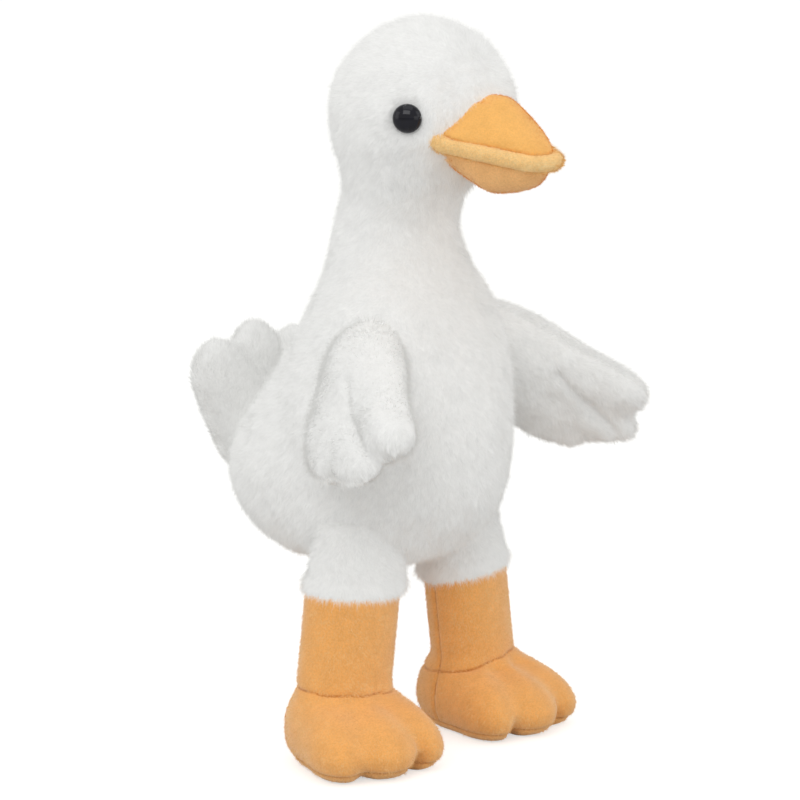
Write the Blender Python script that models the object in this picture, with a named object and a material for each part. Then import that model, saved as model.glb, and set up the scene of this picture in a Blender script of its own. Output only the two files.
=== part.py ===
# A sewn and stuffed toy goose, about 31 cm tall, that stands on two flat soles.
# It faces -Y with +Z up, and its left side is +X. All sizes are in metres.
# Each stuffed part is one solid: a skin of plush cloth with its filling. Parts that
# are sewn together meet face to face with a small seam gap between them.

import math

import bmesh
import bpy
from mathutils import Matrix, Vector

SEAM_GAP = 0.0003

# The body, neck and head are one sewn skin. Each row is a level section of it:
# height, how far back its middle lies, half its width, half its depth.
BODY_SECTIONS = (
    (0.0770, 0.0225, 0.0000, 0.0000),
    (0.0810, 0.0235, 0.0285, 0.0340),
    (0.0890, 0.0240, 0.0405, 0.0492),
    (0.1040, 0.0235, 0.0505, 0.0612),
    (0.1215, 0.0215, 0.0535, 0.0635),
    (0.1400, 0.0155, 0.0510, 0.0585),
    (0.1600, 0.0095, 0.0460, 0.0500),
    (0.1810, 0.0062, 0.0402, 0.0408),
    (0.2020, 0.0062, 0.0315, 0.0315),
    (0.2190, 0.0072, 0.0268, 0.0268),
    (0.2340, 0.0035, 0.0260, 0.0260),
    (0.2450, -0.0025, 0.0305, 0.0305),
    (0.2560, -0.0055, 0.0362, 0.0362),
    (0.2710, -0.0072, 0.0390, 0.0390),
    (0.2865, -0.0074, 0.0355, 0.0355),
    (0.2985, -0.0074, 0.0265, 0.0265),
    (0.3063, -0.0074, 0.0148, 0.0148),
    (0.3092, -0.0074, 0.0000, 0.0000),
)
BODY_SIDES = 36
BODY_RINGS = 38

# The eyes are glossy moulded domes. Each has a shank that passes through the skin
# and a washer pressed on behind it, in a pocket in the filling.
EYE_HEIGHT = 0.2705
EYE_TURN = math.radians(60)
EYE_RADIUS = 0.0060
EYE_DOME_HEIGHT = 0.0048
EYE_SINK = 0.0012
EYE_SIDES = 16
EYE_SHANK_RADIUS = 0.0022
EYE_SHANK_LENGTH = 0.0125
WASHER_RADIUS = 0.0065
WASHER_THICKNESS = 0.0016
WASHER_DEPTH = 0.0042

# The bill. Each row is a section across it: distance ahead of the head's middle,
# half its width at the mouth, height above the mouth, depth below the mouth.
BILL_SECTIONS = (
    (0.0160, 0.0265, 0.0185, 0.0205),
    (0.0260, 0.0240, 0.0202, 0.0220),
    (0.0370, 0.0206, 0.0198, 0.0220),
    (0.0470, 0.0172, 0.0155, 0.0202),
    (0.0550, 0.0138, 0.0108, 0.0174),
    (0.0600, 0.0108, 0.0078, 0.0148),
    (0.0640, 0.0070, 0.0048, 0.0112),
    (0.0655, 0.0034, 0.0022, 0.0062),
)
BILL_TIP = 0.0672
# Under 1, a section of the bill is fuller than an oval.
BILL_FULLNESS = 0.80
BILL_ARC_SIDES = 14
BILL_RINGS = 12
MOUTH_HEIGHT = 0.2662
MOUTH_DROOP = math.radians(11.5)
LIP_RADIUS = 0.0034

# A wing is a flat stuffed panel with three feather tips. Its outline is drawn flat,
# outwards from the root and up from the middle. Each notch between two tips is the
# outer end of a stitched line, which starts at a share of the way from the middle.
WING_ROOT = Vector((0.0340, 0.0000, 0.1770))
WING_SPAN_WAY = Vector((0.600, -0.600, -0.530))
WING_UP_WAY = Vector((-0.148, -0.733, 0.664))
WING_THICKNESS = 0.0210
WING_OUTLINE = (
    (-0.0140, 0.0000),
    (-0.0100, 0.0160),
    (0.0100, 0.0200),
    (0.0300, 0.0220),
    (0.0500, 0.0220),
    (0.0680, 0.0235),
    (0.0790, 0.0235),
    (0.0855, 0.0160),
    (0.0810, 0.0050),
    (0.0865, -0.0010),
    (0.0850, -0.0110),
    (0.0760, -0.0195),
    (0.0680, -0.0205),
    (0.0680, -0.0285),
    (0.0580, -0.0325),
    (0.0420, -0.0320),
    (0.0230, -0.0280),
    (0.0010, -0.0210),
)
WING_MIDDLE = (0.0390, -0.0020)
WING_NOTCHES = ((8, 0.15), (12, 0.45))

# The tail is a fan of three feathers made in the same way.
TAIL_ROOT = Vector((0.0, 0.0780, 0.1150))
TAIL_LEAN = math.radians(11)
TAIL_THICKNESS = 0.0210
TAIL_OUTLINE = (
    (0.0000, -0.0140),
    (0.0230, -0.0060),
    (0.0340, 0.0180),
    (0.0400, 0.0390),
    (0.0330, 0.0505),
    (0.0220, 0.0525),
    (0.0130, 0.0475),
    (0.0085, 0.0550),
    (0.0000, 0.0585),
    (-0.0085, 0.0550),
    (-0.0130, 0.0475),
    (-0.0220, 0.0525),
    (-0.0330, 0.0505),
    (-0.0400, 0.0390),
    (-0.0340, 0.0180),
    (-0.0230, -0.0060),
)
TAIL_MIDDLE = (0.0, 0.0220)
TAIL_NOTCHES = ((6, 0.25), (10, 0.25))
STITCH_WIDTH = 0.0045
STITCH_PULL = 0.50
PANEL_RINGS = 10

# The legs spread towards the ground. Each has a white thigh cuff, an orange shin
# and a three toed foot with a sole under it.
HIP_HALF_SPACING = 0.0335
HIP_HEIGHT = 0.0850
LEG_SPREAD = 0.175
LEG_TURN = math.radians(12)
FOOT_TURNS = {1: math.radians(-2), -1: math.radians(16)}
SOLE_HEIGHT = 0.0060
SOLE_EDGE = 0.0036
ANKLE_HEIGHT = 0.0295
SHIN_TOP = 0.0680
SHIN_HALF_WIDTH = 0.0216
SHIN_HALF_DEPTH = 0.0166
CUFF_HALF_WIDTH = 0.0238
CUFF_HALF_DEPTH = 0.0188
CUFF_TOP = 0.1020
LEG_SIDES = 28
# The foot seen from above, outwards from the ankle's middle and ahead of it.
FOOT_OUTLINE = (
    (0.0000, -0.0230),
    (0.0140, -0.0195),
    (0.0230, -0.0060),
    (0.0272, 0.0110),
    (0.0305, 0.0270),
    (0.0262, 0.0385),
    (0.0180, 0.0392),
    (0.0125, 0.0335),
    (0.0085, 0.0420),
    (0.0000, 0.0450),
    (-0.0085, 0.0420),
    (-0.0125, 0.0335),
    (-0.0180, 0.0392),
    (-0.0262, 0.0385),
    (-0.0305, 0.0270),
    (-0.0272, 0.0110),
    (-0.0230, -0.0060),
    (-0.0140, -0.0195),
)
TOE_NOTCHES = ((7, 0.62), (11, 0.62))
TOE_STITCH_WIDTH = 0.0040
TOE_STITCH_PULL = 0.26
HEEL_ROUNDNESS = 2.3
TOE_ROUNDNESS = 1.45
FOOT_RINGS = 7
SIDES_PER_POINT = 3

WHITE_PLUSH = ("white_plush", (0.90, 0.90, 0.89), 0.95)
ORANGE_PLUSH = ("orange_plush", (0.86, 0.43, 0.13), 0.90)
PALE_ORANGE_PLUSH = ("pale_orange_plush", (0.92, 0.58, 0.25), 0.95)
BLACK_PLASTIC = ("black_plastic", (0.010, 0.010, 0.012), 0.08)
WASHER_PLASTIC = ("washer_plastic", (0.75, 0.75, 0.73), 0.50)

for leftover in list(bpy.data.objects):
    bpy.data.objects.remove(leftover)


def material_of(finish):
    """The Principled material of a finish, made once."""
    name, colour, roughness = finish
    made = bpy.data.materials.get(name)
    if made is None:
        made = bpy.data.materials.new(name)
        made.use_nodes = True
        shader = made.node_tree.nodes["Principled BSDF"]
        shader.inputs["Base Color"].default_value = (*colour, 1)
        shader.inputs["Roughness"].default_value = roughness
        shader.inputs["Metallic"].default_value = 0.0
    return made


def add_part(name, bm, finish):
    """Turns a bmesh into a smooth shaded object with the given name and finish."""
    bmesh.ops.recalc_face_normals(bm, faces=bm.faces)
    mesh = bpy.data.meshes.new(name)
    bm.to_mesh(mesh)
    bm.free()
    mesh.shade_smooth()
    mesh.materials.append(material_of(finish))
    part = bpy.data.objects.new(name, mesh)
    bpy.context.scene.collection.objects.link(part)
    return part


def add_cutter(name, bm):
    """A shape that only cuts others: it isn't part of the goose."""
    cutter = add_part(name, bm, WHITE_PLUSH)
    cutter.hide_render = True
    cutter.display_type = "WIRE"
    return cutter


def cut_away(part, cutter):
    cut = part.modifiers.new("cut_by_" + cutter.name, "BOOLEAN")
    cut.operation = "DIFFERENCE"
    cut.object = cutter


def between(before, a, b, after, share):
    """A point of the smooth curve that runs from a to b, past before and after."""
    return tuple(
        0.5
        * (
            2 * q
            + (r - p) * share
            + (2 * p - 5 * q + 4 * r - s) * share**2
            + (3 * q - p - 3 * r + s) * share**3
        )
        for p, q, r, s in zip(before, a, b, after)
    )


def along_sections(rows, share):
    """The section at a share of the way through the rows, with the curve run level at both ends."""
    spans = len(rows) - 1
    place = min(max(share, 0.0), 1.0) * spans
    first = min(int(place), spans - 1)
    before = rows[first - 1] if first else rows[0]
    after = rows[first + 2] if first + 2 <= spans else rows[spans]
    return between(before, rows[first], rows[first + 1], after, place - first)


def round_outline(points, share):
    """A point at a share of the way round a closed outline."""
    count = len(points)
    place = (share % 1.0) * count
    first = int(place) % count
    four = [points[(first + step) % count] for step in (-1, 0, 1, 2)]
    return Vector(between(*four, place - int(place)))


def body_section(share):
    """The body's section, with its rows mirrored past both poles so that the ends are round."""
    low, high = BODY_SECTIONS[1], BODY_SECTIONS[-2]
    rows = (
        (low[0], low[1], -low[2], -low[3]),
        *BODY_SECTIONS,
        (high[0], high[1], -high[2], -high[3]),
    )
    spans = len(rows) - 3
    place = min(max(share, 0.0), 1.0) * spans
    first = min(int(place), spans - 1)
    return between(*rows[first : first + 4], place - first)


def body_shape(grow=0.0):
    """The body as a round ball drawn out to its sections, and pushed out by grow."""
    bm = bmesh.new()
    bmesh.ops.create_uvsphere(bm, u_segments=BODY_SIDES, v_segments=BODY_RINGS, radius=1)
    for vert in bm.verts:
        share = 1 - math.acos(max(-1.0, min(1.0, vert.co.z))) / math.pi
        turn = math.atan2(vert.co.y, vert.co.x)
        height, back, half_width, half_depth = body_section(share)
        vert.co = (half_width * math.cos(turn), back + half_depth * math.sin(turn), height)
    bm.normal_update()
    if grow:
        for vert in bm.verts:
            vert.co += vert.normal * grow
    return bm


def share_at_height(height):
    """How far up the body's rows a height lies."""
    low, high = 0.0, 1.0
    for _ in range(40):
        middle = (low + high) / 2
        if body_section(middle)[0] < height:
            low = middle
        else:
            high = middle
    return (low + high) / 2


def skin_place(height, turn):
    """A point of the body's skin and the way it faces. Turn is from straight ahead to the left."""

    def at(share, angle):
        level, back, half_width, half_depth = body_section(share)
        return Vector((half_width * math.sin(angle), back - half_depth * math.cos(angle), level))

    share, step = share_at_height(height), 0.002
    upwards = at(share + step, turn) - at(share - step, turn)
    sideways = at(share, turn + step) - at(share, turn - step)
    return at(share, turn), sideways.cross(upwards).normalized()


def turned_shape(profile, sides):
    """A shape turned about Z from its outline of (radius, height), top to bottom on the outside."""
    bm = bmesh.new()
    verts = [bm.verts.new((radius, 0, height)) for radius, height in profile]
    edges = [bm.edges.new(pair) for pair in zip(verts, verts[1:])]
    bmesh.ops.spin(
        bm, geom=verts + edges, cent=(0, 0, 0), axis=(0, 0, 1), angle=math.tau,
        steps=sides, use_merge=True,
    )
    bmesh.ops.remove_doubles(bm, verts=bm.verts, dist=1e-7)
    return bm


def eye_profile(grow):
    """Half the outline of an eye, from the dome's top to the shank's end, pushed out by grow."""
    steps = 6
    dome = [
        (
            (EYE_RADIUS + grow) * math.sin(step / steps * math.pi / 2),
            (EYE_DOME_HEIGHT + grow) * math.cos(step / steps * math.pi / 2),
        )
        for step in range(steps + 1)
    ]
    shank = EYE_SHANK_RADIUS + grow
    end = -EYE_SHANK_LENGTH - grow
    return [*dome, (EYE_RADIUS + grow, -grow), (shank, -grow), (shank, end), (0, end)]


def washer_profile():
    inner = EYE_SHANK_RADIUS + SEAM_GAP
    top = -WASHER_DEPTH
    bottom = top - WASHER_THICKNESS
    return [(inner, top), (WASHER_RADIUS, top), (WASHER_RADIUS, bottom), (inner, bottom), (inner, top)]


def eye_pocket_profile():
    """The room in the body for an eye, its shank and its washer, with the seam gap all round."""
    *socket, shank_end, middle = eye_profile(SEAM_GAP)
    shank = EYE_SHANK_RADIUS + SEAM_GAP
    outer = WASHER_RADIUS + SEAM_GAP
    top = -WASHER_DEPTH + SEAM_GAP
    bottom = -WASHER_DEPTH - WASHER_THICKNESS - SEAM_GAP
    return [*socket, (shank, top), (outer, top), (outer, bottom), (shank, bottom), shank_end, middle]


def eye_seat(side):
    """The frame of an eye: its origin on the skin, sunk a little, with Z facing out."""
    place, facing = skin_place(EYE_HEIGHT, side * EYE_TURN)
    turn = facing.to_track_quat("Z", "Y").to_matrix().to_4x4()
    return Matrix.Translation(place - facing * EYE_SINK) @ turn


def add_eye(side, word, body):
    seat = eye_seat(side)

    def seated(profile):
        bm = turned_shape(profile, EYE_SIDES)
        bmesh.ops.transform(bm, matrix=seat, verts=bm.verts)
        return bm

    add_part(f"eye_{word}", seated(eye_profile(0)), BLACK_PLASTIC)
    add_part(f"eye_washer_{word}", seated(washer_profile()), WASHER_PLASTIC)
    cut_away(body, add_cutter(f"eye_pocket_{word}", seated(eye_pocket_profile())))


def bill_frame():
    """The bill's own frame: +Y ahead along the mouth, which droops, and +Z up."""
    back = body_section(share_at_height(MOUTH_HEIGHT))[1]
    turn = Matrix.Rotation(math.pi, 4, "Z") @ Matrix.Rotation(-MOUTH_DROOP, 4, "X")
    return Matrix.Translation((0, back, MOUTH_HEIGHT)) @ turn


def half_bill_shape(column, way):
    """The part of the bill above the mouth (way 1, column 2) or below it (way -1, column 3)."""
    bm = bmesh.new()
    rings = []
    for ring in range(BILL_RINGS + 1):
        row = along_sections(BILL_SECTIONS, ring / BILL_RINGS)
        verts = []
        for side in range(BILL_ARC_SIDES + 1):
            turn = math.pi * side / BILL_ARC_SIDES
            across = math.copysign(abs(math.cos(turn)) ** BILL_FULLNESS, math.cos(turn))
            rise = max(math.sin(turn), 0.0) ** BILL_FULLNESS
            place = (row[1] * across, row[0], way * (SEAM_GAP / 2 + row[column] * rise))
            verts.append(bm.verts.new(place))
        rings.append(verts)
    loops = [[bm.edges.new((a, b)) for a, b in zip(ring, ring[1:] + ring[:1])] for ring in rings]
    for near, far in zip(loops, loops[1:]):
        bmesh.ops.bridge_loops(bm, edges=near + far)
    bm.faces.new(rings[0])
    bm.faces.new(rings[-1])
    bmesh.ops.transform(bm, matrix=bill_frame(), verts=bm.verts)
    return bm


def lip_line():
    """The line of the rolled lip, round the edge of the mouth from one cheek to the other."""
    bend_ahead, bend_width = BILL_SECTIONS[-3][:2]
    rows = [along_sections(BILL_SECTIONS[:-2], step / 7) for step in range(7)]
    right = [Vector((-row[1], row[0], 0)) for row in rows]
    tip = [
        Vector((-bend_width * math.cos(turn), bend_ahead + (BILL_TIP - bend_ahead) * math.sin(turn), 0))
        for turn in (math.pi * step / 8 for step in range(9))
    ]
    left = [Vector((row[1], row[0], 0)) for row in reversed(rows)]
    return [bill_frame() @ point for point in right + tip + left]


def lip_shape(grow):
    """The rolled lip: a soft round tube swept along its line."""
    line = lip_line()
    curve = bpy.data.curves.new("lip_line", "CURVE")
    curve.dimensions = "3D"
    curve.bevel_depth = LIP_RADIUS + grow
    curve.bevel_resolution = 2
    curve.use_fill_caps = True
    spline = curve.splines.new("POLY")
    spline.points.add(len(line) - 1)
    for point, place in zip(spline.points, line):
        point.co = (*place, 1)
    guide = bpy.data.objects.new("lip_guide", curve)
    bm = bmesh.new()
    bm.from_mesh(guide.to_mesh())
    bpy.data.objects.remove(guide)
    bmesh.ops.remove_doubles(bm, verts=bm.verts, dist=1e-7)
    return bm


def add_bill(body_cutter):
    lip = add_part("bill_lip", lip_shape(0), PALE_ORANGE_PLUSH)
    lip_cutter = add_cutter("lip_groove", lip_shape(SEAM_GAP))
    upper = add_part("bill_upper", half_bill_shape(2, 1), ORANGE_PLUSH)
    lower = add_part("bill_lower", half_bill_shape(3, -1), ORANGE_PLUSH)
    for part in (lip, upper, lower):
        cut_away(part, body_cutter)
    for part in (upper, lower):
        cut_away(part, lip_cutter)


def stitched_lines(outline, middle, notches):
    """The stitched lines, each from near the middle straight out to its notch."""
    lines = []
    for index, start_share in notches:
        notch = Vector(outline[index])
        lines.append((Vector(middle).lerp(notch, start_share), notch))
    return lines


def pulled_in(point, lines, width, pull):
    """What is left of the filling's thickness at a point, pulled in along the stitched lines."""
    left = 1.0
    for start, end in lines:
        way = end - start
        share = max(0.0, min(1.0, (point - start).dot(way) / way.length_squared))
        distance = (point - start - way * share).length
        left *= 1 - pull * math.exp(-((distance / width) ** 2))
    return left


def panel_shape(outline, middle, thickness, notches, frame):
    """A flat stuffed panel: a ball pressed flat and drawn out to the outline, in its own frame."""
    bm = bmesh.new()
    sides = SIDES_PER_POINT * len(outline)
    bmesh.ops.create_uvsphere(bm, u_segments=sides, v_segments=PANEL_RINGS, radius=1)
    lines = stitched_lines(outline, middle, notches)
    for vert in bm.verts:
        share = math.atan2(vert.co.y, vert.co.x) / math.tau
        out = math.hypot(vert.co.x, vert.co.y)
        flat = Vector(middle).lerp(round_outline(outline, share), out)
        left = pulled_in(flat, lines, STITCH_WIDTH, STITCH_PULL)
        vert.co = frame @ Vector((flat.x, flat.y, thickness / 2 * vert.co.z * left))
    return bm


def frame_of(origin, across, up):
    """A frame from its origin, its X way and roughly its Y way."""
    x = across.normalized()
    z = x.cross(up).normalized()
    y = z.cross(x)
    return Matrix.Translation(origin) @ Matrix((x, y, z)).transposed().to_4x4()


def mirrored(bm):
    """The same shape for the right side."""
    bmesh.ops.transform(bm, matrix=Matrix.Scale(-1, 4, (1, 0, 0)), verts=bm.verts)
    return bm


def wing_shape():
    frame = frame_of(WING_ROOT, WING_SPAN_WAY, WING_UP_WAY)
    return panel_shape(WING_OUTLINE, WING_MIDDLE, WING_THICKNESS, WING_NOTCHES, frame)


def add_wings(body_cutter):
    for name, bm in (("wing_left", wing_shape()), ("wing_right", mirrored(wing_shape()))):
        cut_away(add_part(name, bm, WHITE_PLUSH), body_cutter)


def add_tail(body_cutter):
    up = Vector((0, math.sin(TAIL_LEAN), math.cos(TAIL_LEAN)))
    frame = frame_of(TAIL_ROOT, Vector((1, 0, 0)), up)
    bm = panel_shape(TAIL_OUTLINE, TAIL_MIDDLE, TAIL_THICKNESS, TAIL_NOTCHES, frame)
    cut_away(add_part("tail", bm, WHITE_PLUSH), body_cutter)


def leg_middle(side, height):
    """The middle of a leg at a height. The legs spread towards the ground."""
    return Vector((side * (HIP_HALF_SPACING + (HIP_HEIGHT - height) * LEG_SPREAD), 0, height))


def foot_frame(side):
    """The frame of a foot on the ground: +X outwards, +Y ahead, with the toes turned out."""
    under_ankle = leg_middle(side, ANKLE_HEIGHT)
    under_ankle.z = 0
    turned = Matrix.Rotation(math.pi + side * FOOT_TURNS[side], 4, "Z")
    turn = turned @ Matrix.Scale(-side, 4, (1, 0, 0))
    return Matrix.Translation(under_ankle) @ turn


def stacked_shape(rings):
    """A closed shape skinned over level rings of equal count, with flat ends."""
    bm = bmesh.new()
    loops = [[bm.verts.new(point) for point in ring] for ring in rings]
    edges = [[bm.edges.new((a, b)) for a, b in zip(loop, loop[1:] + loop[:1])] for loop in loops]
    for low, high in zip(edges, edges[1:]):
        bmesh.ops.bridge_loops(bm, edges=low + high)
    bm.faces.new(loops[0])
    bm.faces.new(loops[-1])
    return bm


def leg_ring(side, half_width, half_depth, height):
    """An oval ring round the leg's middle at a height, turned as the foot is."""
    turn = Matrix.Rotation(side * LEG_TURN, 3, "Z")
    middle = leg_middle(side, height)
    ring = []
    for step in range(LEG_SIDES):
        angle = math.tau * step / LEG_SIDES
        out = Vector((half_width * math.cos(angle), half_depth * math.sin(angle), 0))
        ring.append(middle + turn @ out)
    return ring


def foot_rims():
    points = SIDES_PER_POINT * len(FOOT_OUTLINE)
    return [round_outline(FOOT_OUTLINE, step / points) for step in range(points)]


def ankle_point(rim):
    """The point of the ankle's oval that lies on the way to a point of the foot's rim."""
    turn = math.atan2(rim.y / SHIN_HALF_DEPTH, rim.x / SHIN_HALF_WIDTH)
    return Vector((SHIN_HALF_WIDTH * math.cos(turn), SHIN_HALF_DEPTH * math.sin(turn)))


def foot_rings(side):
    """Rings from the sole's seam up to the ankle. The heel is round and the toes slope."""
    base = SOLE_HEIGHT + SEAM_GAP
    lines = stitched_lines(FOOT_OUTLINE, (0.0, 0.0), TOE_NOTCHES)
    rings = []
    for step in range(FOOT_RINGS + 1):
        lift = math.pi / 2 * step / FOOT_RINGS
        ring = []
        for rim in foot_rims():
            ahead = min(max(rim.y / FOOT_OUTLINE[9][1], 0.0), 1.0)
            power = 2 / (HEEL_ROUNDNESS + (TOE_ROUNDNESS - HEEL_ROUNDNESS) * ahead)
            flat = ankle_point(rim).lerp(rim, max(math.cos(lift), 0.0) ** power)
            left = pulled_in(flat, lines, TOE_STITCH_WIDTH, TOE_STITCH_PULL)
            height = base + (ANKLE_HEIGHT - base) * math.sin(lift) ** power * left
            ring.append(foot_frame(side) @ Vector((flat.x, flat.y, height)))
        rings.append(ring)
    return rings


def sole_rings(side):
    """Rings of the sole: flat on the ground, with an edge that rolls up to the foot's seam."""
    middle = Vector((0, 0.010))
    steps = 3
    rings = []
    for step in range(steps + 1):
        lift = math.pi / 2 * step / steps
        inset = SOLE_EDGE * (1 - math.sin(lift))
        height = SOLE_HEIGHT * (1 - math.cos(lift))
        flats = [rim + (middle - rim).normalized() * inset for rim in foot_rims()]
        rings.append([foot_frame(side) @ Vector((flat.x, flat.y, height)) for flat in flats])
    return rings


def cuff_rings(side):
    hem = SHIN_TOP + SEAM_GAP
    return [
        leg_ring(side, CUFF_HALF_WIDTH * share, CUFF_HALF_DEPTH * share, hem + (CUFF_TOP - hem) * rise)
        for share, rise in ((0.95, 0.0), (1.0, 0.07), (0.93, 0.5), (0.86, 1.0))
    ]


def shin_rings(side):
    ankle = ANKLE_HEIGHT + SEAM_GAP
    return [leg_ring(side, SHIN_HALF_WIDTH, SHIN_HALF_DEPTH, height) for height in (ankle, SHIN_TOP)]


def add_leg(side, word, body_cutter):
    for name, rings, finish in (
        (f"sole_{word}", sole_rings(side), ORANGE_PLUSH),
        (f"foot_{word}", foot_rings(side), ORANGE_PLUSH),
        (f"shin_{word}", shin_rings(side), ORANGE_PLUSH),
    ):
        add_part(name, stacked_shape(rings), finish)
    cuff = add_part(f"thigh_cuff_{word}", stacked_shape(cuff_rings(side)), WHITE_PLUSH)
    cut_away(cuff, body_cutter)


def centre_on_origin():
    """Moves everything along Y so that the middle of the goose stands on the origin."""
    graph = bpy.context.evaluated_depsgraph_get()
    backs = []
    for part in bpy.data.objects:
        if not part.hide_render:
            backs += [vert.co.y for vert in part.evaluated_get(graph).data.vertices]
    shift = Matrix.Translation((0, -(min(backs) + max(backs)) / 2, 0))
    for part in bpy.data.objects:
        part.data.transform(shift)


body = add_part("body", body_shape(), WHITE_PLUSH)
body_cutter = add_cutter("body_seams", body_shape(SEAM_GAP))
for side, word in ((1, "left"), (-1, "right")):
    add_eye(side, word, body)
    add_leg(side, word, body_cutter)
add_bill(body_cutter)
add_wings(body_cutter)
add_tail(body_cutter)
centre_on_origin()
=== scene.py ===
import math

import bmesh
import bpy
import numpy as np
from mathutils import Matrix, Vector
from mathutils.bvhtree import BVHTree


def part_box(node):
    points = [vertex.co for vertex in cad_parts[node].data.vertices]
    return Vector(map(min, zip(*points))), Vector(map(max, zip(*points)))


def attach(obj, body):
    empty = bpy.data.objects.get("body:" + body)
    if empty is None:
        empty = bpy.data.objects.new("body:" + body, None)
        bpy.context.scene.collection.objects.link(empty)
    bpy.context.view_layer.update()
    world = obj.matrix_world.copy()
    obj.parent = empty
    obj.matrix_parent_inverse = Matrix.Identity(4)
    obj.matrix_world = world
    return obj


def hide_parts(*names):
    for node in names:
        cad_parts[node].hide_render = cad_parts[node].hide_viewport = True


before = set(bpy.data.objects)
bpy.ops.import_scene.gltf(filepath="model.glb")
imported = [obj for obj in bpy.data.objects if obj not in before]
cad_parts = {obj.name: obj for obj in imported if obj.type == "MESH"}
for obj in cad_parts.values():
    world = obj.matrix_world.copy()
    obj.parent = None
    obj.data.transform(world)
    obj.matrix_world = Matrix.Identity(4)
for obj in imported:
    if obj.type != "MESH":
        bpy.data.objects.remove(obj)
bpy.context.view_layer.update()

scene = bpy.context.scene
scene.view_settings.view_transform = "Standard"


# The camera stands ahead of the goose and to its right, a little above its middle, and
# looks down at it slightly. At its distance the square picture takes in 336 mm.
VIEW_TURN = math.radians(-50)
VIEW_RISE = math.radians(10)
VIEW_DISTANCE = 1.7
PICTURE_WIDTH = 0.336
PICTURE_MIDDLE = Vector((-0.0029, -0.0065, 0.1476))


def seen_from(turn, rise):
    """The way from the goose to a place at a turn about it and a rise above level."""
    level = math.cos(rise)
    return Vector((math.sin(turn) * level, -math.cos(turn) * level, math.sin(rise)))


camera = bpy.data.objects.new("camera", bpy.data.cameras.new("camera"))
camera.data.lens = camera.data.sensor_width * VIEW_DISTANCE / PICTURE_WIDTH
camera.data.clip_end = 20
camera.location = PICTURE_MIDDLE + seen_from(VIEW_TURN, VIEW_RISE) * VIEW_DISTANCE
camera.rotation_euler = seen_from(VIEW_TURN, VIEW_RISE).to_track_quat("Z", "Y").to_euler()
scene.collection.objects.link(camera)
scene.camera = camera


# The body, neck and head are one skin of white plush, cut as gores, sewn inside out,
# turned and stuffed firm. The cloth is the ground of the fabric, and the pile stands on it.
WHITE = (0.90, 0.90, 0.89)
GROUND_WHITE = (0.88, 0.88, 0.87)
PILE_RISE = 0.0012
BODY_WEAVE = 0.0025
BODY_ROUNDS = 6
BODY_SWELL = 0.0007
HELD_REACH = 0.007
LUMPS = ((0.00035, 0.018, 5), (0.00015, 0.008, 6))
BODY_NEIGHBOURS = (
    "bill_upper", "bill_lower", "bill_lip", "wing_left", "wing_right", "tail",
    "thigh_cuff_left", "thigh_cuff_right",
)
SEWN_WELTS = (
    (("wing_left",), 0.0042, 0.0130),
    (("wing_right",), 0.0075, 0.0150),
    (("tail", "thigh_cuff_left", "thigh_cuff_right"), 0.0015, 0.0080),
)
EYE_DOME_HEIGHT = 0.0048
EYE_WELT = 0.0009
EYE_WELT_PLACE = 0.0098
EYE_WELT_WIDTH = 0.0030


def merged_copy(node):
    """A bmesh copy of a CAD node with its loose triangles merged."""
    bm = bmesh.new()
    bm.from_mesh(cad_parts[node].data)
    bmesh.ops.remove_doubles(bm, verts=bm.verts, dist=1e-6)
    return bm


def as_piece(name, bm, material):
    """Makes a bmesh a smooth shaded piece of the goose that rides on its one body."""
    mesh = bpy.data.meshes.new(name)
    bm.to_mesh(mesh)
    bm.free()
    mesh.shade_smooth()
    mesh.materials.clear()
    mesh.materials.append(material)
    piece = bpy.data.objects.new(name, mesh)
    scene.collection.objects.link(piece)
    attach(piece, "root")
    return piece


def apply_modifiers(piece):
    """Puts what the piece's modifiers make into its mesh and takes them off."""
    graph = bpy.context.evaluated_depsgraph_get()
    mesh = bpy.data.meshes.new_from_object(piece.evaluated_get(graph), depsgraph=graph)
    mesh.materials.clear()
    for material in piece.data.materials:
        mesh.materials.append(material)
    piece.modifiers.clear()
    old = piece.data
    piece.data = mesh
    bpy.data.meshes.remove(old)
    mesh.shade_smooth()


def surface_of(node):
    """A search tree of a CAD node's surface."""
    bm = merged_copy(node)
    tree = BVHTree.FromBMesh(bm)
    bm.free()
    return tree


def corner_places(mesh):
    places = np.empty(len(mesh.vertices) * 3, np.float32)
    mesh.vertices.foreach_get("co", places)
    return places.reshape(-1, 3).astype(float)


def place_corners(mesh, places):
    mesh.vertices.foreach_set("co", places.astype(np.float32).ravel())
    mesh.update()


def corner_facing(mesh):
    facing = np.empty(len(mesh.vertices) * 3, np.float32)
    mesh.vertex_normals.foreach_get("vector", facing)
    return facing.reshape(-1, 3).astype(float)


def smoothed(mesh, rounds):
    bm = bmesh.new()
    bm.from_mesh(mesh)
    for _ in range(rounds):
        bmesh.ops.smooth_vert(
            bm, verts=bm.verts, factor=0.5, use_axis_x=True, use_axis_y=True, use_axis_z=True
        )
    bm.to_mesh(mesh)
    bm.free()


def drawn_in(piece, inset):
    place_corners(piece.data, corner_places(piece.data) - corner_facing(piece.data) * inset)


def evened(piece, weave, rounds):
    """Remeshes a piece at the size of weave and smooths it."""
    even = piece.modifiers.new("even_cloth", "REMESH")
    even.mode = "VOXEL"
    even.voxel_size = weave
    apply_modifiers(piece)
    smoothed(piece.data, rounds)


BLOWN_ROUNDS = 4
DRAWN_STEPS = 2
DRAWN_ROUNDS = 2


def sewn_skin(name, bm, weave, rounds, material, inset=0.0, plump=0.0):
    """A fine even skin over a shape, drawn in by inset. Where it is plump, its filling closes
    up its clefts: it is blown out by that much, evened, and drawn in again."""
    piece = as_piece(name, bm, material)
    evened(piece, weave, rounds)
    if plump:
        drawn_in(piece, -plump)
        evened(piece, weave, BLOWN_ROUNDS)
        for _ in range(DRAWN_STEPS):
            drawn_in(piece, plump / DRAWN_STEPS)
            evened(piece, weave, DRAWN_ROUNDS)
    drawn_in(piece, inset)
    return piece


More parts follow.
